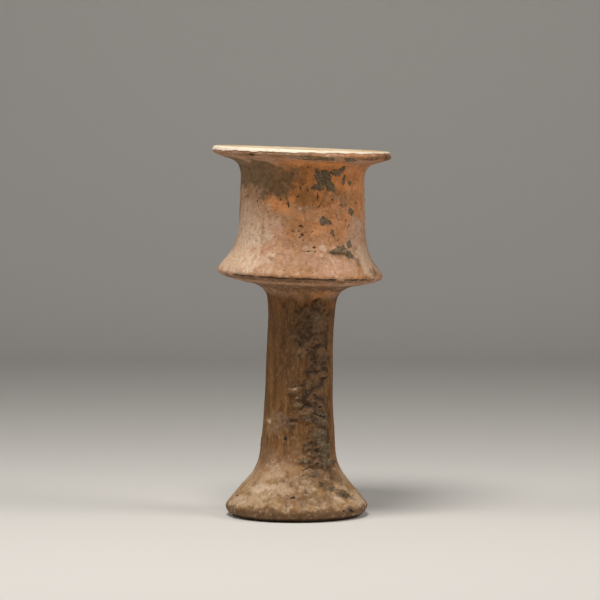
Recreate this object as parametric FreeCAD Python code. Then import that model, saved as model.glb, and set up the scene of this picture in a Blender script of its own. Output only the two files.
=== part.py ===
import FreeCAD, Part
import math
import os

# Goblet drum: a fired-clay body with a glued skin head.  Millimetres, +Z up, front facing -Y.
#
# The body was thrown as a foot, a stem and a bowl and luted together while the clay was soft, so it
# is not quite straight: the stem leans towards +X, and the bowl sits tipped towards +X on the stem.
# Every piece is turned about an upright axis first, and is then leaned or tipped into place.
# Outlines are lists of (radius, height).

# Heights on the foot and along the stem's own axis, both from the table
FOOT_TOP = 52.0             # joint between foot and stem
STEM_END = 182.0            # past the tipped joint with the neck, which trims the stem
KEEL_HEIGHT = 197.1         # height of the keel's centre

# Heights in the bowl, measured along its own axis from the keel
NECK_FOOT = -22.0           # joint between neck and stem
DISH_FOOT = -9.3            # where the dish under the keel narrows into the neck
LIP_CENTRE = 96.6           # centre of the rounding of the rim's lip

# How the soft clay leaned
STEM_LEAN = 1.7             # degrees towards +X, about the middle of the foot's top
STEM_OFFSET = 1.0           # stem's axis from the foot's axis, at the foot's top
KEEL_OFFSET = 3.0           # keel's centre from the foot's axis, along X
BOWL_TILT = 2.2             # degrees towards +X, of the keel's and the rim's planes
NECK_DRIFT = 2.4            # neck's centre from the keel's centre, along the bowl's own X
RIM_DRIFT = -1.85           # rim's centre from the keel's centre, along the bowl's own X

# Clay thickness and inside sizes
BORE_RADIUS = 19.5          # air passage through the stem and the neck
FOOT_BORE = 19.6            # the foot's passage is a little wider, as it leans less than the stem
KEEL_RADIUS = 67.2
TRIM = 2.0                  # clay turned past a joint or the table plane, and trimmed off flat
WALL_INSIDE_RADIUS = 44.2   # mouth of the bowl
MOUTH_ROUNDING = 2.0
LIP_RADIUS = 69.0           # radius of the circle that the lip's rounding is centred on
LIP_ROUNDING = 3.4

# Head
GLUE_THICKNESS = 0.4
SKIN_THICKNESS = 0.9
GLUE_INNER_RADIUS = 47.5
SKIRT_ANGLE = 25.0          # degrees above level, where the skin's turned-down edge is trimmed

# Lutes: clay worked over the inside of each joint
LUTE_THICKNESS = 2.2
LUTE_EDGE = 0.4             # thickness where a band is feathered out
LUTE_REACH = 7.0            # how far a band runs to either side of its joint
KEEL_LUTE_SIZE = 7.0

# Outlines
FOOT_OUTSIDE = [(45.5, -TRIM), (50.5, 0), (55.8, 3.2), (57.9, 8), (54.4, 14), (49.4, 20), (42.4, 28),
                (36.3, 36), (32.4, 44), (30.7, FOOT_TOP)]
FOOT_INSIDE = [(43.8, -TRIM), (43.6, 0), (42.0, 9), (36.8, 18), (28.4, 28), (21.9, 37), (FOOT_BORE, 43)]
STEM_OUTSIDE = [(30.7, FOOT_TOP), (29.4, 68), (27.8, 92), (27.4, 120), (27.2, 152),
                (28.0, STEM_END)]
NECK_OUTSIDE = [(28.0, NECK_FOOT), (28.7, -18.5), (30.6, -15), (34.0, -12), (39.5, DISH_FOOT)]
DISH_OUTSIDE = [(39.5, DISH_FOOT), (47.5, -7.7), (56.5, -5.7), (62.3, -3.8), (65.8, -1.9),
                (KEEL_RADIUS, 0)]
WALL_OUTSIDE = [(KEEL_RADIUS, 0), (65.2, 4), (62.3, 8), (59.1, 12.3), (55.9, 18), (53.3, 25),
                (51.8, 34), (50.8, 50), (50.3, 68), (50.6, 82), (52.0, 86), (54.8, 89)]
CORNER_TOP = (56.0, 8.0)    # the wall's inside is straight from the floor up to here
CORNER = (60.3, 0.0)
WALL_INSIDE = [CORNER_TOP, (50.2, 18), (46.6, 30), (44.8, 50), (WALL_INSIDE_RADIUS, 80)]
FLANGE_UNDERSIDE = [(54.8, 89), (63.6, 92.4), (70.2, 94.9)]

UP = FreeCAD.Vector(0, 0, 1)
AXIS_Y = FreeCAD.Vector(0, 1, 0)
LIP_TOP = LIP_CENTRE + LIP_ROUNDING


def at(radius, height):
    return FreeCAD.Vector(radius, 0, height)


def line(start, end):
    return Part.makeLine(at(*start), at(*end))


def spline(outline):
    curve = Part.BSplineCurve()
    curve.interpolate([at(*point) for point in outline])
    return curve.toShape()


def arc_about(centre, radius, start_degrees, end_degrees):
    """Arc about a centre, its angles measured from level outwards, upwards."""
    middle_degrees = (start_degrees + end_degrees) / 2
    points = []
    for degrees in (start_degrees, middle_degrees, end_degrees):
        angle = math.radians(degrees)
        points.append(at(centre[0] + radius * math.cos(angle), centre[1] + radius * math.sin(angle)))
    return Part.Arc(*points).toShape()


def turned(edges):
    """Solid turned about the upright axis from a closed outline of edges."""
    wire = Part.Wire(Part.__sortEdges__(edges))
    return Part.Face(wire).revolve(FreeCAD.Vector(), UP, 360)


def turned_polygon(corners):
    sides = [line(a, b) for a, b in zip(corners, corners[1:] + corners[:1])]
    return turned(sides)


def leaned(shape):
    """From upright to the stem's leaning axis, which starts at the foot's top."""
    placed = shape.copy()
    placed.rotate(at(0, FOOT_TOP), AXIS_Y, STEM_LEAN)
    placed.translate(FreeCAD.Vector(STEM_OFFSET, 0, 0))
    return placed


def tipped(shape):
    """From the bowl's own upright frame to its place on the stand."""
    placed = shape.copy()
    placed.rotate(FreeCAD.Vector(), AXIS_Y, BOWL_TILT)
    placed.translate(at(KEEL_OFFSET, KEEL_HEIGHT))
    return placed


def slid(shape, drift_per_mm):
    """Slides each level slice towards +X in proportion to its height."""
    slide = FreeCAD.Matrix()
    slide.A13 = drift_per_mm
    return shape.transformGeometry(slide)


def slid_to_rim(shape):
    """A piece of the upper bowl, whose centre drifts to one side on its way to the rim."""
    return tipped(slid(shape, RIM_DRIFT / LIP_CENTRE))


def make_foot():
    """Foot whose centre line slides over from its own axis to the stem's on the way up."""
    top_inside = (FOOT_BORE, FOOT_TOP)
    foot = slid(turned([
        spline(FOOT_OUTSIDE),
        line(FOOT_OUTSIDE[-1], top_inside),
        line(top_inside, FOOT_INSIDE[-1]),
        spline(FOOT_INSIDE),
        line(FOOT_INSIDE[0], FOOT_OUTSIDE[0]),
    ]), STEM_OFFSET / FOOT_TOP)
    under_table = Part.makeCylinder(2 * FOOT_OUTSIDE[0][0], 2 * TRIM, at(0, -2 * TRIM))
    return foot.cut(under_table)


def make_stem():
    """Tube trimmed level where it stands on the foot, and tipped where it meets the neck."""
    start = FOOT_TOP - TRIM
    radius = STEM_OUTSIDE[0][0]
    tube = leaned(turned([
        line((radius, start), STEM_OUTSIDE[0]),
        spline(STEM_OUTSIDE),
        line(STEM_OUTSIDE[-1], (BORE_RADIUS, STEM_END)),
        line((BORE_RADIUS, STEM_END), (BORE_RADIUS, start)),
        line((BORE_RADIUS, start), (radius, start)),
    ]))
    below = Part.makeCylinder(2 * radius, radius, at(0, FOOT_TOP - radius))
    above = tipped(Part.makeCylinder(2 * radius, radius, at(0, NECK_FOOT)))
    return tube.cut(below).cut(above)


def make_bowl_floor():
    """Dish and neck in one; the stem's bore runs on through both."""
    bore_length = KEEL_HEIGHT + BORE_RADIUS - FOOT_TOP
    bore = leaned(Part.makeCylinder(BORE_RADIUS, bore_length, at(0, FOOT_TOP)))
    dish = slid(turned([
        spline(DISH_OUTSIDE),
        line(DISH_OUTSIDE[-1], (0, 0)),
        line((0, 0), (0, DISH_FOOT)),
        line((0, DISH_FOOT), DISH_OUTSIDE[0]),
    ]), NECK_DRIFT / DISH_FOOT)
    neck = turned([
        spline(NECK_OUTSIDE),
        line(NECK_OUTSIDE[-1], (0, DISH_FOOT)),
        line((0, DISH_FOOT), (0, NECK_FOOT)),
        line((0, NECK_FOOT), NECK_OUTSIDE[0]),
    ])
    neck.translate(FreeCAD.Vector(NECK_DRIFT, 0, 0))
    return tipped(dish.fuse(neck)).cut(bore)


def make_bowl_wall():
    mouth = (WALL_INSIDE_RADIUS + MOUTH_ROUNDING, LIP_TOP - MOUTH_ROUNDING)
    return slid_to_rim(turned([
        spline(WALL_OUTSIDE),
        spline(FLANGE_UNDERSIDE),
        Part.Arc(at(*FLANGE_UNDERSIDE[-1]),
                 at(LIP_RADIUS + LIP_ROUNDING, LIP_CENTRE),
                 at(LIP_RADIUS, LIP_TOP)).toShape(),
        line((LIP_RADIUS, LIP_TOP), (mouth[0], LIP_TOP)),
        arc_about(mouth, MOUTH_ROUNDING, 90, 180),
        line((WALL_INSIDE_RADIUS, mouth[1]), WALL_INSIDE[-1]),
        spline(WALL_INSIDE),
        line(CORNER_TOP, CORNER),
        line(CORNER, WALL_OUTSIDE[0]),
    ]))


def make_head_layer(inner_radius, under, over, edge_degrees):
    """Layer that lies over the lip between two distances from the lip's centre line."""
    lip = (LIP_RADIUS, LIP_CENTRE)
    lower = arc_about(lip, under, edge_degrees, 90)
    upper = arc_about(lip, over, edge_degrees, 90)
    low_level = LIP_CENTRE + under
    high_level = LIP_CENTRE + over
    edge = Part.makeLine(lower.Vertexes[0].Point, upper.Vertexes[0].Point)
    return slid_to_rim(turned([
        lower,
        edge,
        upper,
        line((LIP_RADIUS, high_level), (inner_radius, high_level)),
        line((inner_radius, high_level), (inner_radius, low_level)),
        line((inner_radius, low_level), (LIP_RADIUS, low_level)),
    ]))


def make_keel_lute():
    """Fillet in the corner between the wall's inside and the floor."""
    toe = CORNER[0] - KEEL_LUTE_SIZE
    return slid_to_rim(turned_polygon([
        CORNER,
        CORNER_TOP,
        (toe + 1.0, CORNER_TOP[1] * 0.35),
        (toe, 0),
    ]))


def make_band(joint_height):
    """Band inside the bore, feathered out above and below its joint."""
    inner = BORE_RADIUS - LUTE_THICKNESS
    feather = BORE_RADIUS - LUTE_EDGE
    bottom = joint_height - LUTE_REACH
    top = joint_height + LUTE_REACH
    return leaned(turned_polygon([
        (BORE_RADIUS, bottom),
        (feather, bottom),
        (inner, joint_height - LUTE_REACH / 2),
        (inner, joint_height + LUTE_REACH / 2),
        (feather, top),
        (BORE_RADIUS, top),
    ]))


def make_parts():
    glue_top = LIP_ROUNDING + GLUE_THICKNESS
    skin_top = glue_top + SKIN_THICKNESS
    return {
        "foot": make_foot(),
        "stem": make_stem(),
        "bowl_floor": make_bowl_floor(),
        "bowl_wall": make_bowl_wall(),
        "foot_lute": make_band(FOOT_TOP),
        "collar_lute": make_band(KEEL_HEIGHT + NECK_FOOT),
        "keel_lute": make_keel_lute(),
        "head_glue": make_head_layer(GLUE_INNER_RADIUS, LIP_ROUNDING, glue_top, SKIRT_ANGLE),
        "drum_skin": make_head_layer(0, glue_top, skin_top, SKIRT_ANGLE),
    }


def centred(parts):
    """Moves every piece sideways so that the whole drum's box is centred on the origin."""
    box = parts["drum_skin"].optimalBoundingBox()
    box.add(parts["bowl_floor"].optimalBoundingBox())
    shift = FreeCAD.Vector(-(box.XMin + box.XMax) / 2, 0, 0)
    moved = {}
    for name, shape in parts.items():
        moved[name] = shape.copy()
        moved[name].translate(shift)
    print("moved along X by", round(shift.x, 3))
    return moved


os.makedirs("parts", exist_ok=True)
for name, shape in centred(make_parts()).items():
    print(name, shape.ShapeType, len(shape.Solids), shape.isValid(), round(shape.Volume / 1000, 2), "ml")
    shape.exportStep(os.path.join("parts", name + ".step"))
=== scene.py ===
import itertools
import math

import bpy
import numpy as np
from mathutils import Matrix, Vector


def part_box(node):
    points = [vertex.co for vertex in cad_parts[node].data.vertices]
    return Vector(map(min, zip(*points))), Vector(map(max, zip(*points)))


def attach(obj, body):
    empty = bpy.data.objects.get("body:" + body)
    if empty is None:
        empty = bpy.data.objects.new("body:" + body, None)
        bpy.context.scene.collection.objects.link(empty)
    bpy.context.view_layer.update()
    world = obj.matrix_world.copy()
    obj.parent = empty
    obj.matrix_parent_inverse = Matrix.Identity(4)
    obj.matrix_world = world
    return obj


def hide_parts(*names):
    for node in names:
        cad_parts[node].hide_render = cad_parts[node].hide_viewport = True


# Goblet drum of weathered, unglazed clay with a glued skin head.
# Sizes are in millimetres, as in the CAD part, and MM turns them into Blender's metres at the end.
# A place on the clay is an azimuth and a height.  Azimuth is in degrees about the drum's own axis, 0 at
# the front (-Y) and positive towards +X.  Height is along the axis from the table; in the bowl it is
# written from the keel.

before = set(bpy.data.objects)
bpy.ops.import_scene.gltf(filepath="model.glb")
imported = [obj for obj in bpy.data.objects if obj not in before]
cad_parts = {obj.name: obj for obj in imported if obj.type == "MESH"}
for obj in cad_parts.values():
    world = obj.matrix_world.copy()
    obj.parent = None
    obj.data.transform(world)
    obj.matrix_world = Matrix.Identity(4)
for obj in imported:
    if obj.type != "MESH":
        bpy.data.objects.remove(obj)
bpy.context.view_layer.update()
MM = 0.001

# ---------------------------------------------------------------- the drum's own line

AROUND = 480                # points round each ring
RING_INSIDE = 43.6          # the ring that the foot stands on
RING_OUTSIDE = 50.5
FOOT_TOP = 52.0
FOOT_TOP_RADIUS = 30.7
KEEL = 197.1                # height of the keel
KEEL_RADIUS = 67.2
KEEL_INSIDE = 60.3          # inside of the clay at the keel
NECK_FOOT = KEEL - 22.0     # where the neck sits on the stem
NECK_RADIUS = 28.0
BOWL_TILT = math.radians(2.2)
STEM_LEAN = math.tan(math.radians(1.6))
LEAN_START = 12.0           # height at which the stand begins to lean
BORE_RADIUS = 19.5
LIP_RADIUS = 69.0           # circle that the lip's rounding is centred on
LIP_CENTRE = KEEL + 96.6
LIP_ROUNDING = 3.4
LIP_TOP = LIP_CENTRE + LIP_ROUNDING
MOUTH_RADIUS = 44.2
MOUTH_ROUNDING = 2.0
HAIR = 0.02                 # gap between a lute and the clay that it lies on
GLUE = 0.4                  # thickness of the ring of glue
SKIN = 0.9                  # thickness of the hide
GLUE_INSIDE = 47.5          # inside radius of the ring of glue
SQUEEZED_OUT = 2.5          # how far the glue shows past the hide, in degrees round the lip
SKIVED = 0.7                # share of the head's thickness that is pared off at its cut edge
CREASE = math.radians(52)   # a sharper corner than this isn't shaded as a smooth one

# The bowl's slices drift sideways on the keel's axis: (height above the keel, drift towards +X)
BOWL_DRIFT = [(-25, 2.45), (-12, 2.45), (-7, 2.3), (0, 0.1), (10, -0.2), (30, 0.4), (60, -0.3),
              (80, -0.9), (97, -1.85), (104, -1.9)]

foot_low, foot_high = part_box("foot")
floor_low, floor_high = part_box("bowl_floor")
FOOT_X = (foot_low.x + foot_high.x) / 2 / MM
KEEL_X = (floor_low.x + floor_high.x) / 2 / MM
KEEL_Z = floor_high.z / MM - KEEL_RADIUS * math.sin(BOWL_TILT)


def smoothstep(low, high, value):
    share = np.clip((value - low) / (high - low), 0, 1)
    return share * share * (3 - 2 * share)


def hermite(knots, values, at):
    """Smooth curve through values at the knots, read at the places in at."""
    values = np.asarray(values, float)
    slopes = np.gradient(values, knots, axis=0)
    span = np.clip(np.searchsorted(knots, at, side="right") - 1, 0, len(knots) - 2)
    width = (knots[span + 1] - knots[span])
    t = (at - knots[span]) / width
    if values.ndim > 1:
        width, t = width[:, None], t[:, None]
    return ((2 * t**3 - 3 * t**2 + 1) * values[span] + (t**3 - 2 * t**2 + t) * width * slopes[span]
            + (3 * t**2 - 2 * t**3) * values[span + 1] + (t**3 - t**2) * width * slopes[span + 1])


def spine(height):
    """Centre (x, z) and tilt of the drum's slice at each height."""
    knots, drifts = np.array(BOWL_DRIFT, float).T
    above_keel = height - KEEL
    drift = hermite(knots, drifts, np.clip(above_keel, knots[0], knots[-1]))
    bowl_x = KEEL_X + drift * math.cos(BOWL_TILT) + above_keel * math.sin(BOWL_TILT)
    bowl_z = KEEL_Z - drift * math.sin(BOWL_TILT) + above_keel * math.cos(BOWL_TILT)
    stand_x = FOOT_X + STEM_LEAN * np.maximum(height - LEAN_START, 0)
    share = smoothstep(FOOT_TOP, NECK_FOOT, height)
    return (stand_x + (bowl_x - stand_x) * share, height + (bowl_z - height) * share,
            BOWL_TILT * share)


def place(radius, height, azimuth):
    """Points at a radius from the drum's own line."""
    x, z, tilt = spine(height)
    angle = np.radians(azimuth)
    side = radius * np.sin(angle)
    return np.stack([x + side * np.cos(tilt), -radius * np.cos(angle) * np.ones_like(side),
                     z - side * np.sin(tilt)], -1)


def facing(out, up, height, azimuth):
    """Unit vectors that point out and up in the drum's own frame."""
    tilt = spine(height)[2]
    angle = np.radians(azimuth)
    side = out * np.sin(angle)
    return np.stack([side * np.cos(tilt) + up * np.sin(tilt), -out * np.cos(angle),
                     up * np.cos(tilt) - side * np.sin(tilt)], -1)


# ---------------------------------------------------------------- outlines

def raised(outline):
    """A bowl outline, written from the keel, in heights from the table."""
    return [(radius, KEEL + height) for radius, height in outline]


FOOT_OUTSIDE = [(RING_OUTSIDE, 0), (55.8, 3.2), (57.9, 8), (54.4, 14), (49.4, 20), (42.4, 28), (36.3, 36),
                (32.4, 44), (FOOT_TOP_RADIUS, FOOT_TOP)]
FOOT_INSIDE = [(BORE_RADIUS, FOOT_TOP), (BORE_RADIUS, 44), (21.9, 37), (28.4, 28), (36.8, 18), (42.0, 9),
               (RING_INSIDE, 0)]
STEM_OUTSIDE = [(FOOT_TOP_RADIUS, FOOT_TOP), (29.3, 68), (27.8, 92), (27.2, 120), (26.9, 150),
                (27.3, 166), (NECK_RADIUS, NECK_FOOT)]
NECK_OUTSIDE = raised([(NECK_RADIUS, -22), (28.7, -18.5), (30.6, -15), (34.0, -12), (39.5, -9.3),
                       (47.5, -7.6), (56.5, -5.6), (62.3, -3.8), (65.8, -1.9), (KEEL_RADIUS, 0)])
WALL_OUTSIDE = raised([(KEEL_RADIUS, 0), (66.9, 1.2), (65.2, 4), (62.3, 8), (59.1, 12.3), (55.9, 18),
                       (53.3, 25), (51.8, 34), (50.8, 50), (50.3, 68), (50.6, 82), (52.0, 86),
                       (54.8, 89), (63.6, 92.4), (70.2, 94.9)])
WALL_INSIDE = raised([(MOUTH_RADIUS, 98), (MOUTH_RADIUS, 80), (44.8, 50), (46.6, 30), (50.2, 18),
                      (56.0, 8), (KEEL_INSIDE, 0)])


def lip_arc(rounding, start_degrees, end_degrees):
    """Rounding of the lip, at a distance from the circle that it is centred on."""
    angles = np.radians(np.linspace(start_degrees, end_degrees, 9))
    return [(LIP_RADIUS + rounding * math.cos(a), LIP_CENTRE + rounding * math.sin(a)) for a in angles]


# The whole outside from the table to the top of the lip, and how far along it each height is
OUTSIDE_RADII, OUTSIDE_HEIGHTS = np.array(
    FOOT_OUTSIDE + STEM_OUTSIDE[1:] + NECK_OUTSIDE[1:] + WALL_OUTSIDE[1:]
    + lip_arc(LIP_ROUNDING, 0, 90)).T
OUTSIDE_LENGTHS = np.append(0, np.cumsum(np.hypot(np.diff(OUTSIDE_RADII), np.diff(OUTSIDE_HEIGHTS))))


# ---------------------------------------------------------------- noise

def lattice(seed):
    rng = np.random.default_rng(seed)
    directions = rng.normal(size=(256, 3))
    return rng.permutation(256), directions / np.linalg.norm(directions, axis=1)[:, None]


def hashed(table, cell):
    return table[(table[(table[cell[:, 0] & 255] + cell[:, 1]) & 255] + cell[:, 2]) & 255]


def noise(points, size, seed):
    """Smooth noise, about -1 to 1, whose lumps are about size mm across."""
    table, directions = lattice(seed)
    scaled = points / size
    base = np.floor(scaled).astype(int)
    part = scaled - base
    fade = part**3 * (part * (part * 6 - 15) + 10)
    total = np.zeros(len(points))
    for corner in itertools.product((0, 1), repeat=3):
        towards = directions[hashed(table, base + corner)]
        share = np.prod(np.where(corner, fade, 1 - fade), axis=1)
        total += share * ((part - corner) * towards).sum(1)
    return 1.7 * total


def rough(points, size, seed, octaves=3, keep=0.5):
    """Noise with finer noise on top."""
    total = np.zeros(len(points))
    for octave in range(octaves):
        total += keep**octave * noise(points, size / 2**octave, seed + octave)
    return total


def dimples(points, size, seed, share):
    """Round dimples scattered in cells of size mm, 1 at a dimple's middle; share of cells have one."""
    table = lattice(seed)[0]
    scaled = points / size
    base = np.floor(scaled).astype(int)
    deepest = np.zeros(len(points))
    for step in itertools.product((-1, 0, 1), repeat=3):
        cell = base + step
        first = hashed(table, cell)
        second = hashed(table, cell + 71)
        third = hashed(table, cell + 143)
        middle = cell + np.stack([first, second, third], -1) / 256
        present = ((first * 7 + second * 3) % 256) < share * 256
        radius = 0.12 + 0.33 * ((third * 5 + first) % 256) / 256
        distance = np.linalg.norm(scaled - middle, axis=1) / radius
        deepest = np.maximum(deepest, np.where(present, np.clip(1 - distance, 0, 1), 0))
    return deepest


# ---------------------------------------------------------------- marks on the clay

# Each mark is (azimuth, height, half width mm, half height mm, turn degrees, strength).
BOWL_MARKS = {
    # dark grey burial crust that stands on the surface
    "crust": [
        (19.5, 78.4, 6.8, 7.4, 8, 1.0), (14, 71.5, 4.6, 2.6, 15, 1.0), (26, 73, 5.2, 3.6, -30, 1.0),
        (13, 84.5, 1.6, 3.6, 25, 1.0), (31, 83.5, 5.0, 2.8, 10, 1.0), (36.5, 86, 2.8, 5.2, -20, 1.0),
        (41.5, 79, 1.6, 4.6, -15, 1.0), (49, 75.5, 2.0, 2.0, 0, 0.75), (20.5, 44.5, 4.8, 3.0, -8, 1.05),
        (28, 36.4, 2.0, 1.5, 20, 0.95), (29.3, 34, 0.9, 2.0, 15, 0.95), (50, 52.5, 3.2, 2.7, -25, 1.0),
        (29, 20.4, 5.4, 2.6, 5, 1.0), (38, 21.2, 6.2, 3.8, -10, 1.0), (44, 18.0, 4.6, 2.6, -10, 1.0),
        (46, 26, 2.6, 3.6, -30, 1.0), (16, 94.6, 9.5, 2.6, 0, 1.0), (33, 94.4, 6.0, 3.0, 0, 1.0),
        (2, 94.2, 5.0, 1.5, 0, 0.75), (-60, 61.5, 1.1, 1.0, 0, 0.9),
    ],
    # knobbly earth and lime that has grown on the clay
    "scale": [
        (52, 96, 9, 2.4, 0, 0.6), (70, 97.5, 12, 3.4, 0, 0.8),
    ],
    "lump": [
        (49, 53, 2.8, 2.2, -25, 0.4), (31, 21, 5.6, 2.4, 5, 0.75), (42, 20, 4, 2.4, -10, 0.7),
    ],
    # smoke and soot from the firing
    "smoke": [
        (-38, 81, 30, 15, -12, 0.95), (-22, 84, 14, 10, 0, 0.3), (-38.5, 73, 5.5, 6.5, -15, 0.5),
        (-78, 86, 24, 18, 0, 0.95), (36, 65, 10, 7, -20, 0.65), (-20, 97, 60, 5, 0, 0.5),
        (150, 85, 30, 14, 0, 0.8), (-150, 60, 20, 20, 0, 0.5),
    ],
    # orange where the fire was hottest
    "warm": [
        (12, 76, 42, 26, 0, 0.9), (22, 90, 20, 9, 0, 1.0), (58, 74, 20, 28, 0, 0.75),
        (-10, 66, 26, 17, 10, 0.75), (22, 44, 30, 22, 0, 0.6), (-2, 35, 12, 12, 0, 0.5),
        (45, 97, 24, 6, 0, 0.6), (125, 62, 40, 26, 0, 0.5), (-120, 80, 30, 18, 0, 0.6),
        (32, -14, 16, 6, 0, 0.6), (75, -10, 20, 7, 0, 0.4), (5, -10, 20, 6, 0, 0.3),
        (0, 0.5, 220, 2.2, 0, 0.35),
    ],
    # pale, chalky clay
    "pale": [
        (-56, 10, 40, 13, 0, 1.0), (-16, 12, 22, 10, 0, 0.35), (66, 14, 18, 16, 0, 0.75),
        (58, 32, 15, 16, 0, 0.5), (19.5, 22.6, 3.0, 2.0, -10, 1.3), (-60, 30, 26, 18, 0, 0.8),
        (-45, 43, 18, 12, 0, 0.6), (35, 9, 26, 6, 0, 0.35), (-2.5, 54.3, 1.4, 0.9, 0, 1.0),
        (52.5, 54.2, 1.5, 1.2, 0, 1.3), (-33, 94, 4, 1.3, 0, 1.0), (140, 12, 50, 12, 0, 0.8),
        (-140, 15, 40, 14, 0, 0.9), (-68, 48, 12, 22, 0, 0.7),
    ],
    # brown earth worked into the surface; the bands under the keel also hold painted shade
    "earth": [
        (66, 4, 9, 4.5, 15, 1.0), (52, 12.5, 3.0, 5.5, -30, 0.7), (-37, 33, 2.6, 7.5, 8, 0.6),
        (-30, 27, 3.5, 4.5, 0, 0.4), (-3, 33, 14, 14, 0, 0.5), (0, 12, 34, 9, 0, 0.45),
        (-22, 67, 16, 9, 0, 0.6), (12, 80, 20, 14, 0, 0.3), (-6, 73, 14, 12, 0, 0.4),
        (-45, 95, 30, 3, 0, 0.5), (45, 96, 22, 4, 0, 0.6), (62, 97.6, 16, 2.2, 0, 0.8),
        (8, 95.6, 14, 1.6, 0, 0.6), (28, 57, 10, 6, 0, 0.35), (6, 63, 18, 10, 0, 0.55),
        # bands under the keel (negative heights), here and on the next line: earth with painted shade
        # under the keel's overhang
        (-20, -3, 70, 5, 0, 0.9), (0, 0.5, 220, 1.5, 0, 0.45), (0, -9, 220, 9, 0, 1.3),
        (60, -2, 26, 3.0, 0, 0.7),
    ],
    # pits and other small dark spots
    "dark": [
        (-12.5, 57, 0.9, 2.6, 8, 1.0), (11, 23.6, 1.3, 0.9, 15, 1.2), (-8, 36, 1.6, 0.6, -15, 1.0),
        (-3, 36.2, 0.9, 0.8, 0, 1.0), (0, 33.4, 1.0, 1.2, 20, 1.0), (3, 35.2, 0.9, 0.8, 0, 0.9),
        (-2, 31.4, 1.2, 0.8, 30, 1.0), (1, 28.8, 0.9, 0.7, 0, 0.9), (-5, 33, 0.7, 0.7, 0, 0.8),
        (34.5, 45.8, 1.2, 0.7, 10, 0.9), (38, 46, 0.7, 0.6, 0, 0.8), (33, 49.8, 0.8, 0.6, 0, 0.7),
        (0.5, 39.4, 0.7, 0.8, 0, 0.9), (-2, 70.5, 0.7, 2.0, 10, 0.8), (14, 64, 0.6, 4.5, 2, 0.8),
        (16, 57, 0.5, 3.4, -30, 0.8), (-48, 66, 0.7, 0.9, 0, 0.7), (6, 20.6, 5.5, 0.5, 6, 0.9),
        (12, 20.4, 0.8, 0.8, 0, 0.9), (-8, 31, 0.7, 0.6, 0, 0.8), (-60, 50, 0.6, 1.6, 0, 0.6),
        (-34.5, 95.2, 2.0, 2.0, 0, 1.3), (55, 33, 0.8, 1.3, 0, 0.6), (-23, 66, 0.7, 0.6, 0, 0.7),
    ],
}
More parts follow.
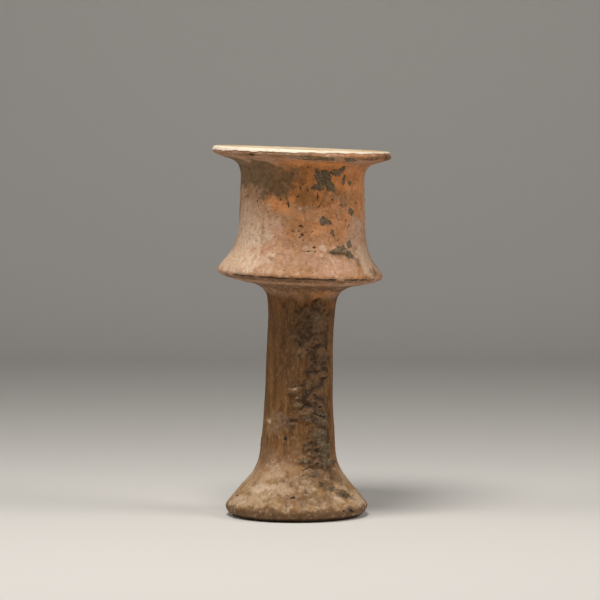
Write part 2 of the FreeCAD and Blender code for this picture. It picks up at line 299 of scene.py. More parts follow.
STAND_MARKS = {
    "crust": [
        (38, 81, 7, 5, -25, 0.8), (38, 66, 5, 8, 10, 0.7), (44, 55, 7, 6, 0, 0.7),
        (8, 47, 2.6, 2.2, 0, 0.8), (46, 45, 6, 3.5, 10, 0.6), (24, 37, 3.2, 1.8, 20, 0.7),
        (8, 36.3, 2.0, 0.8, 20, 0.9), (34, 25, 4.5, 1.6, -20, 0.8), (50, 19, 5.0, 1.8, -15, 0.8),
        (9, 24, 0.9, 2.4, 15, 0.7), (-4, 93, 2.4, 1.2, 0, 0.7), (24, 163, 5, 3, 0, 0.6),
    ],
    "scale": [
        (22, 166, 15, 12, 0, 0.7), (20, 150, 15, 13, 0, 0.75), (32, 134, 13, 13, 0, 0.85),
        (34, 120, 13, 11, 0, 0.9), (20, 108, 12, 9, 0, 0.95), (26, 96, 14, 10, 0, 1.0),
        (14, 88, 10, 8, 0, 1.0), (38, 80, 11, 9, -25, 1.0), (-12, 79, 5, 4.5, 15, 0.8),
        (36, 66, 10, 9, 0, 0.95), (40, 55, 12, 8, 0, 0.9), (18, 58, 8, 6, 0, 0.6),
        (8, 47, 3.5, 3, 0, 0.8), (26, 46, 9, 5, -15, 0.8), (48, 44, 10, 6, 10, 0.8),
        (22, 37, 7, 4, 20, 0.7), (32, 28, 9, 5, -20, 0.75), (50, 21, 9, 5, -15, 0.8),
        (-12, 101.5, 5, 2, 5, 0.6), (56, 33, 8, 8, 0, 0.5), (8, 28, 14, 6, 0, 0.3),
    ],
    "lump": [
        (-11, 103.2, 4.8, 2.2, 8, 1.0), (-17, 102, 2.6, 1.6, 0, 0.8), (42, 117, 5, 3.2, 10, 1.0),
        (34, 122, 4, 3, 0, 0.7), (24, 153, 4, 3, 0, 0.7), (14, 160, 4, 3.4, 0, 0.6),
        (-3, 92, 3.6, 2.2, 0, 0.8), (20, 97, 4, 3, 0, 0.9), (34, 93, 3, 3, 0, 0.8),
        (-6, 83, 4, 3, 0, 0.8), (12, 86, 5, 3.4, -10, 0.9), (30, 82, 6, 2.4, -30, 0.9),
        (42, 77, 3, 3.4, 0, 0.9), (44, 68, 3, 4, 0, 0.7), (36, 58, 4, 3, 0, 0.8),
        (4, 47, 3, 2.4, 0, 0.6), (12, 45, 2.4, 2, 0, 0.6), (26, 44, 4, 2.4, -20, 0.7),
        (22, 32, 4, 1.8, 10, 0.7), (36, 27, 4, 2, -25, 0.8), (48, 21, 5, 2.2, -20, 0.8),
        (56, 45, 4, 3, 0, 0.6), (30, 134, 4, 5, 0, 0.6), (38, 146, 3, 4, 0, 0.6),
        (-64, 40, 3.4, 2, 20, 0.5), (-48, 22, 6, 2.4, 15, 0.4), (-20, 33, 5, 2.6, 0, 0.35),
    ],
    "smoke": [
        (20, 160, 14, 14, 0, 0.3),
    ],
    "warm": [
        (60, 174, 10, 5, 0, 0.5), (20, 176, 9, 4, 0, 0.4), (64, 120, 8, 40, 0, 0.2),
        (70, 70, 10, 14, 0, 0.3), (-30, 172, 20, 7, 0, 0.35),
    ],
    "pale": [
        (-42, 25, 16, 5, 8, 0.95), (-58, 16, 18, 6, 0, 0.7), (-35, 35, 16, 5, 0, 0.55),
        (72, 14, 12, 10, 0, 0.8), (-10, 26, 18, 8, 0, 0.45), (40, 17.5, 7, 1.4, -32, 1.3),
        (50, 24, 14, 6, 0, 0.3), (-40, 76, 20, 14, 14, 0.35), (-57, 78.3, 3, 1.4, 0, 1.0),
        (15, 81.5, 3.4, 2.0, 0, 0.9), (-8.5, 105.6, 3.0, 1.1, 5, 1.2), (-3, 98, 1.8, 1.1, 0, 0.9),
        (36, 87, 2.2, 6.5, 40, 0.9), (52, 48, 10, 3, 0, 0.2), (150, 22, 30, 10, 0, 0.9),
        (-120, 30, 26, 12, 0, 0.7), (0, 13, 40, 5, 0, 0.25), (0, 137, 6, 8, -20, 0.5),
        (-4, 62, 12, 10, 0, 0.3),
    ],
    "earth": [
        (-22, 150, 7, 30, 0, 1.15), (-18, 122, 8, 22, 0, 1.0), (-40, 168, 12, 8, 0, 0.35),
        (10, 66, 16, 14, 0, 0.4), (8, 18, 26, 9, 0, 0.7), (0, 50, 90, 7, 0, 0.45),
        # (-50, 160) and (62, 158) darken the top of the stem: painted shade cast by the bowl above
        (8, 33, 18, 8, 0, 0.6), (20, 152, 12, 18, 0, 0.8), (-50, 160, 18, 20, 0, 0.5),
        (62, 158, 18, 22, 0, 0.55), (-14, 50, 17, 5.5, 0, 0.6), (30, 46, 20, 9, 0, 0.55),
        # (0, 3.0) darkens the foot all round near the table: earth with painted shade under the foot's
        # rounded edge
        (-53, 45.5, 2.6, 1.5, 0, 0.9), (0, 3.0, 220, 8.0, 0, 1.5), (-60, 50, 24, 9, 0, 0.5),
        (22, 10, 34, 5, 0, 0.45), (64, 32, 8, 12, 20, 0.45), (10, 33, 12, 6, 0, 0.4),
        (36, 36, 20, 12, 0, 0.7),
    ],
    "dark": [
        (-20, 65, 1.5, 1.7, 0, 1.3), (-3.5, 19.8, 1.9, 1.1, -10, 1.2), (45, 114, 4.6, 0.9, 4, 1.1),
        (34, 90.3, 1.1, 1.0, 0, 1.1), (35, 83.2, 8.0, 0.9, -22, 0.9), (50, 7.6, 4.6, 1.0, -28, 1.2),
        (41, 8.3, 1.9, 0.7, 20, 1.1), (-71, 18, 3, 1.1, 20, 0.8), (8, 57, 1.3, 0.9, 0, 0.7),
        (-8, 30.5, 1.0, 0.8, 0, 0.8), (-6, 28, 0.8, 0.9, 0, 0.7), (28, 44, 2.0, 1.2, 30, 0.8),
        (14, 76, 1.2, 0.8, 0, 0.7), (48, 127, 3.0, 0.8, 10, 0.6), (22, 142, 2.0, 0.8, 0, 0.6),
        # (0, 1.0) and (150, 1.0) darken the foot's bottom edge all round where it meets the table:
        # painted shade
        (0, 1.0, 90, 4.0, 0, 0.6), (150, 1.0, 90, 4.0, 0, 0.6), (12, 41, 3.4, 1.0, 25, 0.7),
        (28, 30, 3.0, 0.9, -30, 0.8), (44, 24, 2.2, 0.8, -30, 0.8), (2, 48, 2.0, 0.8, 10, 0.6),
    ],
}
MARKS = {kind: [(a, KEEL + h, w, t, turn, s) for a, h, w, t, turn, s in BOWL_MARKS[kind]]
         + STAND_MARKS[kind] for kind in BOWL_MARKS}


def scatter(kind, seed, size, strength, centres, count=6):
    """Add overlapping marks, drawn at random, round each (azimuth, height)."""
    rng = np.random.default_rng(seed)
    for azimuth, height in centres:
        for across, along in rng.normal(0, size, (count, 2)):
            MARKS[kind].append((azimuth + 1.4 * across, height + along, size * rng.uniform(0.4, 1.1),
                                size * rng.uniform(0.3, 0.8), rng.uniform(-60, 60), strength))


# crust, scale, lumps and pits on the sides that are turned away, and small pits on the front
scatter("crust", 91, 4.0, 1.0, [(142, KEEL + 72), (-128, KEEL + 32), (168, KEEL + 24), (-165, KEEL + 78),
                                (104, KEEL + 40), (-112, 24), (128, 30)])
scatter("crust", 92, 1.4, 0.9, [(118, KEEL + 84), (92, KEEL + 62), (-98, KEEL + 52), (155, KEEL + 46),
                                (-150, KEEL + 14), (178, KEEL + 55), (-90, 60), (98, 20), (160, 45)], 3)
scatter("scale", 93, 8.0, 0.85, [(158, 152), (172, 132), (165, 112), (-176, 92), (-160, 66), (150, 44)])
scatter("lump", 94, 6.0, 0.7, [(160, 140), (170, 104), (-165, 72), (125, 90), (-140, 120), (140, 34)], 4)
scatter("dark", 96, 1.1, 0.85, [(a, KEEL + h) for a, h in [
    (-13, 60), (-5, 63), (5, 68), (0, 74), (-21, 62), (9, 60), (23, 55), (-2, 41), (29, 62), (40, 57),
    (43, 46), (46, 41), (-30, 51), (-45, 56), (-53, 40), (-63, 35), (-55, 27), (48, 31), (53, 22),
    (-24, 48), (-8, 82), (4, 88), (38, 95), (60, 60), (-66, 60), (-28, 36), (8, 36), (34, 30)]], 2)
scatter("dark", 95, 1.2, 0.9, list(zip(range(85, 276, 9), [
    30, 211, 64, 255, 120, 230, 18, 270, 150, 221, 40, 246, 90, 281, 205, 26, 262, 138, 236, 75, 215,
    250])), 2)

# The edge of each kind of mark: (mm that it wanders, size mm of the wandering, softness mm)
EDGES = {"crust": (1.5, 5.0, 0.3), "scale": (4.6, 8.0, 3.2), "lump": (1.2, 4.0, 1.5),
         "smoke": (6.0, 12.0, 6.0), "warm": (6.0, 14.0, 10.0), "pale": (6.0, 12.0, 9.0),
         "earth": (3.5, 8.0, 5.0), "dark": (0.6, 1.8, 0.35)}


def mark_field(points, heights, azimuths, kind):
    """How strongly a kind of mark shows at each point, from 0 to about 1."""
    wander, size, softness = EDGES[kind]
    ragged = rough(points, size, sum(map(ord, kind)), 4, 0.6)
    radii = np.interp(heights, OUTSIDE_HEIGHTS, OUTSIDE_RADII)
    lengths = np.interp(heights, OUTSIDE_HEIGHTS, OUTSIDE_LENGTHS)
    field = np.zeros(len(points))
    for azimuth, height, half_width, half_height, turn, strength in MARKS[kind]:
        across = np.radians((azimuths - azimuth + 180) % 360 - 180) * radii
        along = lengths - np.interp(height, OUTSIDE_HEIGHTS, OUTSIDE_LENGTHS)
        reach = max(half_width, half_height) + 2 * wander + softness
        close = np.nonzero((np.abs(across) < reach) & (np.abs(along) < reach))[0]
        u, w = across[close], along[close]
        c, s = math.cos(math.radians(turn)), math.sin(math.radians(turn))
        distance = np.hypot((u * c + w * s) / half_width, (w * c - u * s) / half_height)
        smaller = min(half_width, half_height)
        soft = min(softness, 0.8 * smaller)
        depth = (1 - distance) * smaller + min(wander, 0.5 * smaller) * ragged[close]
        field[close] = np.maximum(field[close], strength * smoothstep(-soft, soft, depth))
    return field


# ---------------------------------------------------------------- shells of clay

def even(points, step):
    """Even samples of a smooth curve through the points, with the curve's directions."""
    points = np.array(points, float)
    knots = np.concatenate([[0], np.cumsum(np.linalg.norm(np.diff(points, axis=0), axis=1))])
    count = max(1, round(knots[-1] / step))
    samples = hermite(knots, points, np.linspace(0, knots[-1], count + 1))
    return samples, np.gradient(samples, axis=0)


def ring_stack(stretches):
    """Rings of a closed outline: radius and height, outward normal, and which are outside or inside."""
    rings = []
    for finish, points, step in stretches:
        samples, ahead = even(points, step)
        normals = np.stack([ahead[:, 1], -ahead[:, 0]], -1)
        normals /= np.linalg.norm(normals, axis=1)[:, None]
        if finish == "outside":
            from_end = np.minimum(np.arange(len(samples)), np.arange(len(samples))[::-1]) * step
            level = 1 - smoothstep(0, 2.5, from_end)[:, None]
            normals = normals * (1 - level) + np.array([1.0, 0.0]) * level
        rings.append([finish, samples, normals])
    for before, after in zip(rings, rings[1:] + rings[:1]):
        keep_before = before[0] == "outside"
        cut = after if keep_before else before
        part = slice(1, None) if keep_before else slice(None, -1)
        cut[1], cut[2] = cut[1][part], cut[2][part]
    outside = np.concatenate([np.full(len(r[1]), float(r[0] == "outside")) for r in rings])
    inside = np.concatenate([np.full(len(r[1]), float(r[0] == "inside")) for r in rings])
    return (np.concatenate([r[1] for r in rings]), np.concatenate([r[2] for r in rings]),
            outside, inside)


def new_mesh(name, points, faces, attributes):
    mesh = bpy.data.meshes.new(name)
    mesh.from_pydata((points * MM).tolist(), [], faces.tolist())
    mesh.polygons.foreach_set("use_smooth", np.ones(len(mesh.polygons), bool))
    for key, values in attributes.items():
        layer = mesh.attributes.new(key, "FLOAT", "POINT")
        layer.data.foreach_set("value", values.astype(np.float32))
    mesh.set_sharp_from_angle(angle=CREASE)
    piece = bpy.data.objects.new(name, mesh)
    bpy.context.scene.collection.objects.link(piece)
    return piece


def ring_faces(count, closed):
    """Quads between count rings; closed joins the last ring to the first."""
    first = np.arange(count if closed else count - 1)[:, None] * AROUND
    second = (first + AROUND) % (count * AROUND)
    here = np.arange(AROUND)[None, :]
    after = (here + 1) % AROUND
    return np.stack([first + here, first + after, second + after, second + here], -1).reshape(-1, 4)


def keel_crack(points, heights, azimuths):
    """A thin crack that wanders just under the keel's edge, round the front."""
    middle = KEEL - 1.3 + 0.8 * noise(points * np.array([1, 1, 0]), 7, 81)
    open_here = smoothstep(-0.5, -0.1, noise(points * np.array([1, 1, 0]), 12, 82))
    front = smoothstep(-62, -48, azimuths) * (1 - smoothstep(46, 66, azimuths))
    return np.exp(-(((heights - middle) / 0.8) ** 2)) * open_here * front


def stem_share(points, heights):
    """1 on the dark stem, easing off towards the foot and the bowl; its dark colour is earth stain with
    painted shade from the bowl above.
    """
    uneven = heights + 9 * noise(points, 20, 78)
    return smoothstep(28, 66, uneven) * (1 - smoothstep(176, 188, heights + 4 * noise(points, 14, 79)))


def clay_relief(points, heights, azimuths, marks, outside, inside):
    """How far the clay stands out from its turned outline, in mm."""
    lumps = 0.34 * noise(points, 42, 3) + 0.22 * noise(points, 17, 4) + 0.10 * noise(points, 7, 5)
    turning = np.stack([heights, azimuths * 0.012, np.zeros_like(heights)], -1)
    wheel = 0.055 * noise(turning, 2.6, 8) + 0.05 * noise(turning, 6.5, 9)
    on_foot = 1 - smoothstep(30, 50, heights)
    on_keel = np.exp(-(((heights - KEEL) / 4.0) ** 2))
    weathered = 0.5 + 0.5 * smoothstep(-0.3, 0.5, noise(points, 24, 12)) + 0.5 * on_foot
    grain = weathered * (0.07 * rough(points, 2.8, 15) + 0.05 * noise(points, 1.3, 18))
    pitted = 0.35 * dimples(points, 4.5, 21, 0.28) + 0.22 * dimples(points, 2.2, 22, 0.2)
    wrinkled = on_foot * 0.34 * np.abs(rough(points * np.array([1, 1, 1.6]), 4.5, 25))
    chips = on_keel * 0.9 * smoothstep(0.12, 0.55, rough(points, 6.0, 28))
    crust, scale = marks["crust"], marks["scale"]
    deposit = crust * (0.40 + 0.22 * rough(points, 2.6, 31) + 0.10 * dimples(points, 1.6, 33, 0.5))
    deposit = deposit + scale * (0.1 + 2.2 * marks["knobs"]) + 2.2 * marks["lump"]
    flat_on_table = smoothstep(0.0, 2.5, heights)
    surface = (lumps + wheel + grain - weathered * pitted * (1 - 0.6 * crust) - wrinkled - chips
               + np.maximum(deposit, 0) - 0.55 * marks["dark"])
    hollow = 0.5 * noise(points, 30, 41) + 0.16 * noise(turning, 5.0, 42) + 0.05 * rough(points, 3, 43)
    return flat_on_table * (outside * surface + inside * 0.6 * hollow)


def clay_piece(name, node, stretches):
    """A closed shell of clay, turned round the drum's own line, that stands for a CAD node."""
    outline, normals, outside, inside = ring_stack(stretches)
    azimuth = np.arange(AROUND) * 360 / AROUND - 180
    radii, heights = (np.repeat(column, AROUND) for column in outline.T)
    azimuths = np.tile(azimuth, len(outline))
    points = place(radii, heights, azimuths)
    out, up = (np.repeat(column, AROUND) for column in normals.T)
    outwards = facing(out, up, heights, azimuths)
    on_outside, on_inside = np.repeat(outside, AROUND), np.repeat(inside, AROUND)
    marks = {kind: mark_field(points, heights, azimuths, kind) * on_outside for kind in MARKS}
    marks["dark"] = np.maximum(marks["dark"], keel_crack(points, heights, azimuths) * on_outside)
    knobs = 0.9 * np.abs(noise(points, 10, 34)) + 0.6 * np.abs(noise(points, 5, 35))
    marks["knobs"] = np.clip(0.12 + knobs + 0.22 * rough(points, 2.4, 36), 0, 1.3)
    marks["shank"] = on_outside * stem_share(points, heights)
    marks["foot"] = on_outside * (1 - smoothstep(30, 54, heights + 6 * noise(points, 14, 77)))
    relief = clay_relief(points, heights, azimuths, marks, on_outside, on_inside)
    piece = new_mesh(name, points + outwards * relief[:, None], ring_faces(len(outline), True), marks)
    finish_piece(piece, node, clay_material())


def finish_piece(piece, node, material):
    piece.data.materials.append(material)
    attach(piece, "root")
    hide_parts(node)


# ---------------------------------------------------------------- materials

def paint(red, green, blue):
    """A colour given as it looks on screen, 0 to 255, in the linear values that shaders take."""
    return [((c / 255 + 0.055) / 1.055) ** 2.4 for c in (red, green, blue)] + [1.0]


class Shader:
    """Short names for making and joining a material's nodes."""

    def __init__(self, name):
        self.material = bpy.data.materials.new(name)
        self.material.use_nodes = True
        self.nodes = self.material.node_tree.nodes
        self.links = self.material.node_tree.links
        self.surface = self.nodes["Principled BSDF"]
        self.place = self.node("ShaderNodeTexCoord").outputs["Object"]

    def node(self, kind, settings=(), **inputs):
        made = self.nodes.new(kind)
        for key, value in dict(settings).items():
            setattr(made, key, value)
        for key, value in inputs.items():
            self.plug(made.inputs[key.replace("_", " ")], value)
        return made

    def plug(self, socket, value):
        if isinstance(value, bpy.types.NodeSocket):
            self.links.new(value, socket)
        else:
            socket.default_value = value

    def attribute(self, name):
        return self.node("ShaderNodeAttribute", {"attribute_name": name}).outputs["Fac"]

    def math(self, operation, first, second=0.5):
        made = self.node("ShaderNodeMath", {"operation": operation})
        self.plug(made.inputs[0], first)
        self.plug(made.inputs[1], second)
        return made.outputs[0]

    def grain(self, size, detail=3.0, stretch=(1, 1, 1), roughness=0.6):
        """Noise from 0 to 1 whose lumps are about size mm across."""
        mapped = self.node("ShaderNodeMapping", Vector=self.place, Scale=stretch).outputs[0]
        return self.node("ShaderNodeTexNoise", Vector=mapped, Scale=1 / (size * MM), Detail=detail,
                         Roughness=roughness).outputs["Fac"]

    def span(self, value, low, high, to_low=0.0, to_high=1.0):
        """Value from low to high, eased to run from to_low to to_high."""
        made = self.node("ShaderNodeMapRange", {"interpolation_type": "SMOOTHSTEP"})
        for socket, number in zip(made.inputs, (value, low, high, to_low, to_high)):
            self.plug(socket, number)
        return made.outputs["Result"]

    def blend(self, share, under, over):
        made = self.node("ShaderNodeMix", {"data_type": "RGBA"})
        under_socket, over_socket, result = 6, 7, 2     # those of the node's colours
        self.plug(made.inputs["Factor"], share)
        self.plug(made.inputs[under_socket], under)
        self.plug(made.inputs[over_socket], over)
        return made.outputs[result]

    def mask(self, name, size, ragged, low, high):
        """A painted mark whose edge is broken up by grain."""
        broken = self.math("MULTIPLY_ADD", self.grain(size), ragged)
        broken.node.inputs[2].default_value = -ragged / 2
        return self.span(self.math("ADD", self.attribute(name), broken), low, high)

    def bump(self, height, depth, under=None):
        """Bump of a height from 0 to 1 whose full depth is in mm."""
        made = self.node("ShaderNodeBump", Height=height, Distance=depth * MM, Strength=1.0)
        if under:
            self.plug(made.inputs["Normal"], under)
        return made.outputs[0]


CLAY = {
    "tan": paint(168, 124, 86), "pink": paint(184, 142, 114), "orange": paint(218, 142, 80),
    "ochre": paint(176, 114, 60), "pale": paint(204, 175, 148), "chalk": paint(222, 204, 182),
    "earth": paint(112, 78, 46), "umber": paint(74, 49, 28), "smoke": paint(124, 100, 70),
    # shank and shank_dark, the stem's colours, hold painted shade from the bowl as well as the stem's
    # earth stain
    "soot": paint(92, 76, 52), "shank": paint(128, 88, 43), "shank_dark": paint(92, 59, 23),
    "foot": paint(178, 149, 115), "foot_ochre": paint(150, 115, 74), "crust": paint(90, 75, 55),
    "crust_light": paint(132, 118, 94), "scale": paint(50, 36, 24), "scale_light": paint(120, 92, 65),
    "hole": paint(46, 32, 22),
}


def clay_material():
    made = bpy.data.materials.get("weathered_clay")
    if made:
        return made
    s = Shader("weathered_clay")
    rub, grit, fine = s.grain(3.4, 5.0), s.grain(2.4, 5.0), s.grain(1.7, 4.0)
    colour = s.blend(s.span(s.grain(18), 0.38, 0.62), CLAY["tan"], CLAY["pink"])
    foot = s.blend(s.span(s.grain(9), 0.36, 0.62), CLAY["foot_ochre"], CLAY["foot"])
    colour = s.blend(s.attribute("foot"), colour, foot)
    # the stem's dark brown: earth stain together with painted shade from the bowl overhead
    shank = s.blend(s.span(s.grain(6, 4.0, (1, 1, 0.2)), 0.35, 0.65), CLAY["shank"], CLAY["shank_dark"])
    colour = s.blend(s.attribute("shank"), colour, shank)
    colour = s.blend(s.mask("warm", 9, 0.5, 0.1, 1.0), colour,
                     s.blend(s.span(s.grain(11), 0.4, 0.65), CLAY["orange"], CLAY["ochre"]))
    colour = s.blend(s.math("MULTIPLY", s.mask("pale", 3.5, 0.7, 0.15, 0.95), 0.75), colour,
                     s.blend(s.span(s.grain(3), 0.45, 0.75), CLAY["pale"], CLAY["chalk"]))
    colour = s.blend(s.math("MULTIPLY", s.mask("earth", 4, 0.6, 0.1, 1.0), 0.8), colour,
                     s.blend(s.span(s.grain(5, stretch=(1, 1, 0.3)), 0.4, 0.7),
                             CLAY["earth"], CLAY["umber"]))
    sooty = s.math("MULTIPLY", s.mask("smoke", 5, 1.2, 0.1, 0.9), 0.85)
    colour = s.blend(sooty, colour, s.blend(s.span(rub, 0.36, 0.6), CLAY["soot"], CLAY["smoke"]))

    # vertical strokes left by burnishing, plainest on the stem
    streaks = s.grain(2.0, 4.0, (1, 1, 0.16))
    burnished = s.span(s.attribute("shank"), 0.0, 1.0, 0.35, 1.0)
    dark_streak = s.math("MULTIPLY", s.span(streaks, 0.48, 0.75, 0.0, 0.42), burnished)
    colour = s.blend(dark_streak, colour, CLAY["umber"])
    light_streak = s.math("MULTIPLY", s.span(s.grain(1.3, 3.0, (1, 1, 0.35)), 0.50, 0.72, 0.0, 0.30),
                          burnished)
    colour = s.blend(light_streak, colour, CLAY["foot"])

    # dirt in the hollows and rubbed high spots
    colour = s.blend(s.span(rub, 0.30, 0.46, 0.45, 0.0), colour, CLAY["earth"])
    stained = s.math("MAXIMUM", s.attribute("smoke"), s.math("MULTIPLY", s.attribute("warm"), 0.8))
    bare = s.math("SUBTRACT", 1.0, s.math("MAXIMUM", s.attribute("shank"), stained))
    drifts = s.math("MULTIPLY", s.span(bare, -0.1, 0.9), s.span(s.grain(13), 0.40, 0.62, 0.1, 1.0))
    rubbed = s.math("MULTIPLY", s.span(rub, 0.50, 0.68, 0.0, 0.42), drifts)
    colour = s.blend(rubbed, colour, CLAY["chalk"])
    colour = s.blend(s.span(s.grain(0.9, 2.0), 0.58, 0.68, 0.0, 0.5), colour, CLAY["umber"])
    colour = s.blend(s.span(s.grain(1.9, 1.0), 0.70, 0.76, 0.0, 0.7), colour, CLAY["umber"])

    scale = s.mask("scale", 3.0, 1.1, 0.1, 0.85)
    knobs = s.math("ADD", s.math("MULTIPLY", s.attribute("knobs"), 0.55), s.math("MULTIPLY", grit, 0.6))
    scale_colour = s.blend(s.span(knobs, 0.36, 0.85), CLAY["scale"], CLAY["scale_light"])
    colour = s.blend(s.math("MULTIPLY", scale, 0.85), colour, scale_colour)
    crust = s.mask("crust", 1.1, 0.5, 0.30, 0.55)
    crust_colour = s.blend(s.span(fine, 0.42, 0.68), CLAY["crust"], CLAY["crust_light"])
    colour = s.blend(s.math("MULTIPLY", crust, 0.94), colour, crust_colour)
    # lump crests are painted lighter: a painted highlight on the lumps
    lump_crest_highlight = s.math("MULTIPLY", s.span(s.attribute("lump"), 0.2, 0.9), s.span(fine, 0.38, 0.6))
    colour = s.blend(s.math("MULTIPLY", lump_crest_highlight, 0.55), colour, CLAY["scale_light"])
    colour = s.blend(s.math("MULTIPLY", s.mask("dark", 0.7, 0.6, 0.25, 0.8), 0.9), colour,
                     CLAY["hole"])
    s.plug(s.surface.inputs["Base Color"], colour)
    s.plug(s.surface.inputs["Roughness"], s.span(s.grain(4), 0.3, 0.7, 0.72, 0.9))

    sandy = s.bump(s.grain(0.5, 2.0), 0.12)
    lined = s.bump(streaks, 0.10, sandy)
    weathered = s.math("MULTIPLY", rub, s.span(s.attribute("foot"), 0.0, 1.0, 0.6, 1.0))
    worn = s.bump(weathered, 0.8, lined)
    crusty = s.math("MULTIPLY", grit, s.math("MAXIMUM", s.math("MULTIPLY", crust, 0.5), scale))
    s.plug(s.surface.inputs["Normal"], s.bump(crusty, 1.3, worn))
    s.surface.inputs["Specular IOR Level"].default_value = 0.3
    return s.material


def skin_material():
    s = Shader("rawhide")
    colour = s.blend(s.span(s.grain(16, 4.0), 0.35, 0.7), paint(228, 212, 182), paint(204, 180, 142))
    veins = s.span(s.grain(9, 5.0, (1, 0.5, 1), 0.75), 0.54, 0.60, 0.0, 0.4)
    colour = s.blend(veins, colour, paint(168, 134, 94))
    colour = s.blend(s.math("MULTIPLY", s.mask("glued", 7, 0.5, 0.1, 0.9), 0.55), colour,
                     paint(178, 142, 94))
    colour = s.blend(s.math("MULTIPLY", s.mask("played", 6, 0.5, 0.1, 1.0), 0.5), colour,
                     paint(146, 114, 80))
    follicles = s.span(s.grain(0.8, 2.0), 0.58, 0.68, 0.0, 0.4)
    colour = s.blend(follicles, colour, paint(140, 108, 74))
    stains = s.span(s.grain(4, 4.0), 0.52, 0.72, 0.0, 0.5)
    rim = s.blend(stains, paint(238, 223, 202), paint(196, 164, 128))
    colour = s.blend(s.math("MULTIPLY", s.attribute("edge"), 0.9), colour, rim)
    s.plug(s.surface.inputs["Base Color"], colour)
    s.plug(s.surface.inputs["Roughness"], s.span(s.grain(6), 0.3, 0.7, 0.5, 0.7))
    fibres = s.bump(s.grain(1.2, 4.0, (1, 0.3, 1)), 0.05)
    s.plug(s.surface.inputs["Normal"], s.bump(s.grain(5, 3.0), 0.12, fibres))
    s.surface.inputs["Subsurface Weight"].default_value = 0.08
    s.surface.inputs["Subsurface Radius"].default_value = (0.004, 0.003, 0.002)
    return s.material


def glue_material():
    s = Shader("hide_glue")
    colour = s.blend(s.span(s.grain(3, 4.0), 0.35, 0.7), paint(178, 128, 70), paint(120, 78, 38))
    s.plug(s.surface.inputs["Base Color"], colour)
    s.plug(s.surface.inputs["Roughness"], s.span(s.grain(2), 0.3, 0.7, 0.3, 0.55))
    s.plug(s.surface.inputs["Normal"], s.bump(s.grain(1.5, 3.0), 0.1))
    return s.material


# ---------------------------------------------------------------- the pieces

def make_foot():
    clay_piece("foot_clay", "foot", [
        ("outside", FOOT_OUTSIDE, 0.8),
        ("joint", [(FOOT_TOP_RADIUS, FOOT_TOP), (BORE_RADIUS, FOOT_TOP)], 3.0),
        ("inside", FOOT_INSIDE, 2.2),
        ("joint", [(RING_INSIDE, 0), (RING_OUTSIDE, 0)], 2.0),
    ])


def make_stem():
    clay_piece("stem_clay", "stem", [
        ("outside", STEM_OUTSIDE, 0.8),
        ("joint", [(NECK_RADIUS, NECK_FOOT), (BORE_RADIUS, NECK_FOOT)], 3.0),
        ("inside", [(BORE_RADIUS, NECK_FOOT), (BORE_RADIUS, FOOT_TOP)], 4.0),
        ("joint", [(BORE_RADIUS, FOOT_TOP), (FOOT_TOP_RADIUS, FOOT_TOP)], 3.0),
    ])


def make_bowl_floor():
    clay_piece("bowl_floor_clay", "bowl_floor", [
        ("outside", NECK_OUTSIDE, 0.75),
        ("joint", [(KEEL_RADIUS, KEEL), (KEEL_INSIDE, KEEL)], 2.5),
        ("inside", [(KEEL_INSIDE, KEEL), (BORE_RADIUS, KEEL)], 3.0),
        ("inside", [(BORE_RADIUS, KEEL), (BORE_RADIUS, NECK_FOOT)], 3.0),
        ("joint", [(BORE_RADIUS, NECK_FOOT), (NECK_RADIUS, NECK_FOOT)], 3.0),
    ])


def make_bowl_wall():
    mouth_edge = MOUTH_RADIUS + MOUTH_ROUNDING
    clay_piece("bowl_wall_clay", "bowl_wall", [
        ("outside", WALL_OUTSIDE + lip_arc(LIP_ROUNDING, 0, 90), 0.85),
        ("joint", [(LIP_RADIUS, LIP_TOP), (mouth_edge, LIP_TOP)], 3.0),
        ("inside", [(mouth_edge, LIP_TOP), (MOUTH_RADIUS, LIP_TOP - MOUTH_ROUNDING)], 1.0),
        ("inside", WALL_INSIDE, 3.5),
        ("joint", [(KEEL_INSIDE, KEEL), (KEEL_RADIUS, KEEL)], 2.5),
    ])


def make_lute(name, node, outline, against=1):
    """A clay fillet or band smeared by a finger over an inside joint.  The outline's first sides,
    as many as against says, lie on the clay."""
    sides = zip(outline, outline[1:] + outline[:1])
    stretches = [("joint" if i < against else "inside", side, 1.2) for i, side in enumerate(sides)]
    rings, normals, _, open_side = ring_stack(stretches)
    radii, heights = (np.repeat(column, AROUND) for column in rings.T)
    azimuths = np.tile(np.arange(AROUND) * 360 / AROUND - 180, len(rings))
    points = place(radii, heights, azimuths)
    out, up = (np.repeat(column, AROUND) for column in normals.T)
    smears = np.stack([heights, azimuths * 0.1, np.zeros_like(heights)], -1)
    relief = 0.25 * noise(smears, 3.0, 51) + 0.08 * noise(points, 2.5, 52)
    relief = np.minimum(relief, 0.3) * np.repeat(open_side, AROUND)
    points = points + facing(out, up, heights, azimuths) * relief[:, None]
    piece = new_mesh(name, points, ring_faces(len(rings), True), {})
    finish_piece(piece, node, clay_material())


def band_outline(joint):
    """A band inside the bore that is feathered out above and below a joint."""
    reach, thickness, feather = 7.0, 2.2, 0.4
    against_clay, edge, face = (BORE_RADIUS - depth for depth in (HAIR, feather, thickness))
    return [(against_clay, joint - reach), (against_clay, joint + reach), (edge, joint + reach),
            (face, joint + reach / 2), (face, joint - reach / 2), (edge, joint - reach)]


def make_lutes():
    make_lute("foot_lute_clay", "foot_lute", band_outline(FOOT_TOP))
    make_lute("collar_lute_clay", "collar_lute", band_outline(NECK_FOOT))
    make_lute("keel_lute_clay", "keel_lute",
              [(53.3, KEEL + HAIR), (KEEL_INSIDE, KEEL + HAIR), (56.0, KEEL + 8), (54.3, KEEL + 2.8)], 2)


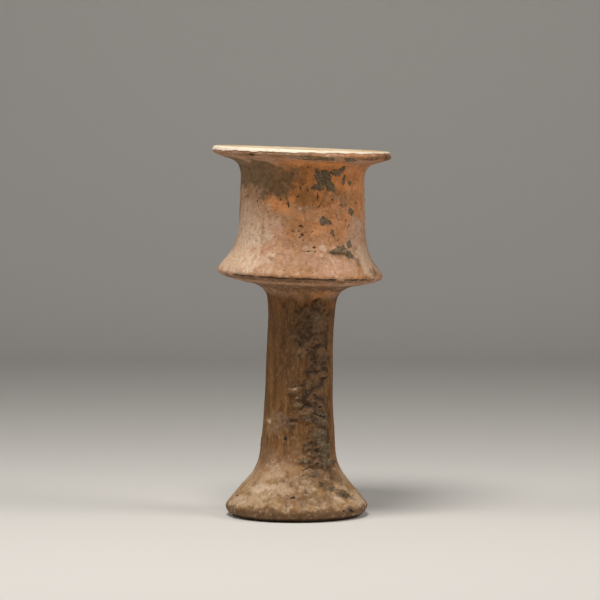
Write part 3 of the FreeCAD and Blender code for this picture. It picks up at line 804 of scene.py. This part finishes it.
def head_layer(under, over, inner, trim):
    """A layer over the lip between two distances from the lip's centre line.  trim is how far down
    the lip it reaches all round, in degrees above level; with an inner radius of 0 it has two ends
    at the middle that are left open."""
    azimuth = np.arange(AROUND) * 360 / AROUND - 180
    rings = []
    flat = np.linspace(max(inner, 1.0), LIP_RADIUS, 70)

    def arc(height, order, thinned=0.0):
        for share in order:
            distance = height - thinned * (over - under) * smoothstep(0.55, 1.0, share)
            degrees = 90 + (trim - 90) * share
            rings.append((LIP_RADIUS + distance * np.cos(np.radians(degrees)),
                          LIP_CENTRE + distance * np.sin(np.radians(degrees))))

    for radius in flat[:-1]:
        rings.append((np.full(AROUND, radius), np.full(AROUND, LIP_CENTRE + over)))
    arc(over, np.linspace(0, 1, 14), SKIVED)
    arc(over - (1 + SKIVED) / 2 * (over - under), [1.02])
    arc(under, np.linspace(1, 0, 6))
    for radius in flat[-2::-3]:
        rings.append((np.full(AROUND, radius), np.full(AROUND, LIP_CENTRE + under)))
    radii = np.concatenate([r for r, _ in rings])
    heights = np.concatenate([h for _, h in rings])
    azimuths = np.tile(azimuth, len(rings))
    points = place(radii, heights, azimuths)
    faces = ring_faces(len(rings), inner > 0)[:, ::-1]
    return points, faces, radii, heights, azimuths, len(rings)


def trim_line():
    """Ragged height of the hide's cut edge round the lip, in degrees above level; lowest on the left."""
    middle, slope, raggedness = 40, 22, 11
    azimuth = np.radians(np.arange(AROUND) * 360 / AROUND - 180)
    circle = np.stack([np.cos(azimuth), np.sin(azimuth), np.zeros(AROUND)], -1) * LIP_RADIUS
    return middle + slope * np.sin(azimuth) + raggedness * rough(circle, 14, 61, 4, 0.6)


def make_skin():
    over_glue = LIP_ROUNDING + GLUE
    points, faces, radii, heights, azimuths, count = head_layer(
        over_glue, over_glue + SKIN, 0, trim_line())
    ripple = 0.10 * rough(points, 22, 64) + 0.05 * noise(points, 5, 65)
    radial = np.stack([azimuths * 0.35, radii * 0.02, np.zeros_like(radii)], -1)
    pull = 0.14 * smoothstep(40, 60, radii) * noise(radial, 1.4, 66)
    sag = 0.5 * (1 - smoothstep(38, 48, radii))
    lift = (ripple + pull - sag) * np.where(radii < LIP_RADIUS + 1, 1, 0.4)
    points = points + facing(np.zeros_like(radii), np.ones_like(radii), heights, azimuths) * lift[:, None]
    edge = smoothstep(LIP_RADIUS - 1.0, LIP_RADIUS + 2.5, radii)
    glued = smoothstep(42, 56, radii + 3 * noise(points, 20, 67)) * (1 - 0.6 * edge)
    played = np.exp(-((radii / 24) ** 2))
    ends = np.array([points[:AROUND].mean(0), points[-AROUND:].mean(0)])
    first, last = len(points), len(points) + 1
    here = np.arange(AROUND)
    after = (here + 1) % AROUND
    base = (count - 1) * AROUND
    attributes = {"edge": np.append(edge, [0, 0]), "glued": np.append(glued, [0, 0]),
                  "played": np.append(played, [1, 1])}
    all_faces = faces.tolist()
    all_faces += np.stack([np.full(AROUND, first), here, after], -1).tolist()
    all_faces += np.stack([np.full(AROUND, last), base + after, base + here], -1).tolist()
    piece = new_mesh("rawhide_head", np.concatenate([points, ends]), np.array(all_faces, object),
                     attributes)
    finish_piece(piece, "drum_skin", skin_material())


def make_glue():
    """The ring of glue shows as a fine line past the hide's edge."""
    points, faces, *_ = head_layer(LIP_ROUNDING, LIP_ROUNDING + GLUE, GLUE_INSIDE,
                                   trim_line() - SQUEEZED_OUT)
    finish_piece(new_mesh("glue_ring", points, faces, {}), "head_glue", glue_material())


# ---------------------------------------------------------------- studio

def make_stage():
    """Pale floor that curves up into a backdrop."""
    near, far, wide, bend = -7.0, 1.6, 7.0, 0.5
    line = [(near, 0.0), (far, 0.0)]
    line += [(far + bend * math.sin(a), bend - bend * math.cos(a)) for a in np.linspace(0.15, 1.57, 10)]
    line += [(far + bend, 5.0)]
    points = np.array([[x, y, z] for y, z in line for x in (-wide, wide)]) / MM
    faces = np.array([[2 * i, 2 * i + 1, 2 * i + 3, 2 * i + 2] for i in range(len(line) - 1)])
    floor = new_mesh("studio_floor", points, faces, {})
    s = Shader("pale_floor")
    s.surface.inputs["Base Color"].default_value = paint(214, 212, 208)
    s.surface.inputs["Roughness"].default_value = 0.85
    floor.data.materials.append(s.material)


def area_light(name, place_m, target_m, size, power, colour):
    light = bpy.data.lights.new(name, "AREA")
    light.shape = "DISK"
    light.size = size
    light.energy = power
    light.color = colour
    lamp = bpy.data.objects.new(name, light)
    lamp.location = place_m
    lamp.rotation_euler = (Vector(target_m) - Vector(place_m)).to_track_quat("-Z", "Y").to_euler()
    bpy.context.scene.collection.objects.link(lamp)


def make_lights():
    middle = (0, 0, 0.18)
    area_light("softbox_above", (-0.18, -0.50, 1.30), middle, 0.5, 13.5, (1.0, 0.96, 0.91))
    area_light("soft_left", (-1.15, -0.35, 1.00), middle, 0.7, 5.2, (1.0, 0.96, 0.92))
    area_light("soft_right", (1.15, -0.45, 1.00), middle, 0.7, 8.0, (1.0, 0.95, 0.90))
    area_light("fill_front", (0.30, -2.2, 0.60), middle, 1.2, 2.0, (1.0, 0.96, 0.91))
    world = bpy.data.worlds.new("studio")
    world.use_nodes = True
    world.node_tree.nodes["Background"].inputs["Color"].default_value = (0.8, 0.82, 0.85, 1)
    world.node_tree.nodes["Background"].inputs["Strength"].default_value = 0.10
    bpy.context.scene.world = world
    bpy.context.scene.view_settings.view_transform = "Standard"


def make_camera():
    """Far off and nearly level with the rim, through a long lens."""
    distance, pitch, seen_down = 2.655, math.radians(3.45), math.radians(7.2)
    data = bpy.data.cameras.new("camera")
    data.sensor_width = 36.0
    data.lens = 196.4
    camera = bpy.data.objects.new("camera", data)
    camera.location = (FOOT_X * MM + 0.003, -distance, distance * math.tan(seen_down))
    camera.rotation_euler = (math.pi / 2 - pitch, 0, 0)
    bpy.context.scene.collection.objects.link(camera)
    bpy.context.scene.camera = camera


make_camera()
make_foot()
make_stem()
make_bowl_floor()
make_bowl_wall()
make_lutes()
make_glue()
make_skin()
make_stage()
make_lights()
